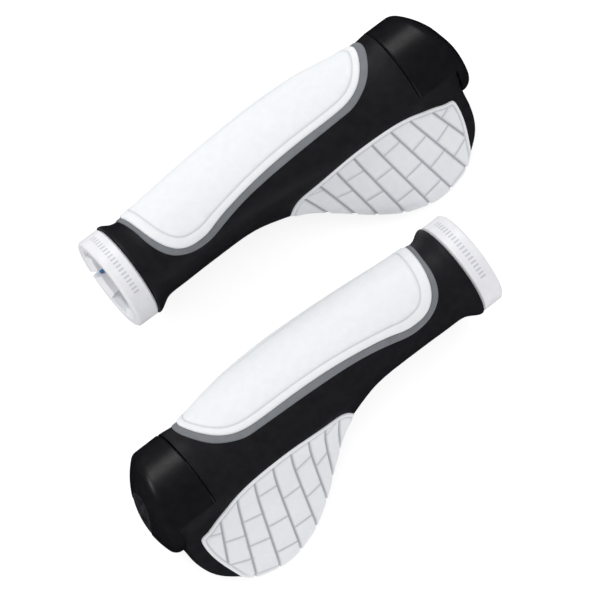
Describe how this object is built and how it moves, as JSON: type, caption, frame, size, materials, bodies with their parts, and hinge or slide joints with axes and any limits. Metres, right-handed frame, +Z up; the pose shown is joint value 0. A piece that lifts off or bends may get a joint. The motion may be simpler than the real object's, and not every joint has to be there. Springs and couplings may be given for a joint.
{
  "type": "ergonomic lock-on handlebar grips",
  "caption": "Mirrored pair of winged ergonomic handlebar grips with clamp rings, soft white pads on black rubber, and closed end caps.",
  "frame": {"origin": "on the right grip's bar axis, where the sleeve's full bore begins, 8.2 mm inside the lock ring's mouth", "axes": "+X along the right grip's bar axis towards its end cap, +Y forwards (both palm wings point to -Y), +Z up from the table the pair lies on"},
  "size_m": [0.1759, 0.1238, 0.034],
  "materials": {
    "nylon": "moulded",
    "black_rubber": "satin moulded",
    "grey_rubber": "satin moulded",
    "white_pad": "soft matte with a fine moulded texture",
    "white_ring": "satin powder coat",
    "steel": "zinc plated",
    "blue_patch": "nylon locking patch",
    "black_plastic": "semi-gloss moulded",
    "badge": "fine spark-eroded texture"
  },
  "bodies": {
    "right_grip": {"right_core_sleeve": "nylon", "right_rubber_body": "black_rubber", "right_trim_frame": "grey_rubber", "right_top_pad": "white_pad", "right_palm_pad": "white_pad"},
    "right_ring": {"right_lock_ring": "white_ring"},
    "right_screw": {"right_clamp_screw": "steel", "right_thread_patch": "blue_patch"},
    "right_cap": {"right_end_cap": "black_plastic", "right_cap_badge": "badge"},
    "left_grip": {"left_core_sleeve": "nylon", "left_rubber_body": "black_rubber", "left_trim_frame": "grey_rubber", "left_top_pad": "white_pad", "left_palm_pad": "white_pad"},
    "left_ring": {"left_lock_ring": "white_ring"},
    "left_screw": {"left_clamp_screw": "steel", "left_thread_patch": "blue_patch"},
    "left_cap": {"left_end_cap": "black_plastic", "left_cap_badge": "badge"}
  },
  "joints": [
    {"name": "right_ring_slide", "type": "slide", "parent": "right_grip", "child": "right_ring", "axis": [-1, 0, 0], "range_m": [0, 0.015]},
    {"name": "right_screw_turn", "type": "hinge", "parent": "right_ring", "child": "right_screw", "pos_m": [-0.0042, 0.01122, -0.009], "axis": [0, 0.788, 0.6157], "range_deg": [0, 720]},
    {"name": "right_cap_slide", "type": "slide", "parent": "right_grip", "child": "right_cap", "axis": [1, 0, 0], "range_m": [0, 0.025]},
    {"name": "left_ring_slide", "type": "slide", "parent": "left_grip", "child": "left_ring", "axis": [0.9999, 0.0122, 0], "range_m": [0, 0.015]},
    {"name": "left_screw_turn", "type": "hinge", "parent": "left_ring", "child": "left_screw", "pos_m": [0.08566, -0.05283, -0.009], "axis": [-0.0096, 0.788, 0.6157], "range_deg": [0, 720]},
    {"name": "left_cap_slide", "type": "slide", "parent": "left_grip", "child": "left_cap", "axis": [-0.9999, -0.0122, 0], "range_m": [0, 0.025]},
    {"name": "left_grip_lift", "type": "slide", "parent": "right_grip", "child": "left_grip", "axis": [0, 0, 1], "range_m": [0, 0.1]}
  ]
}
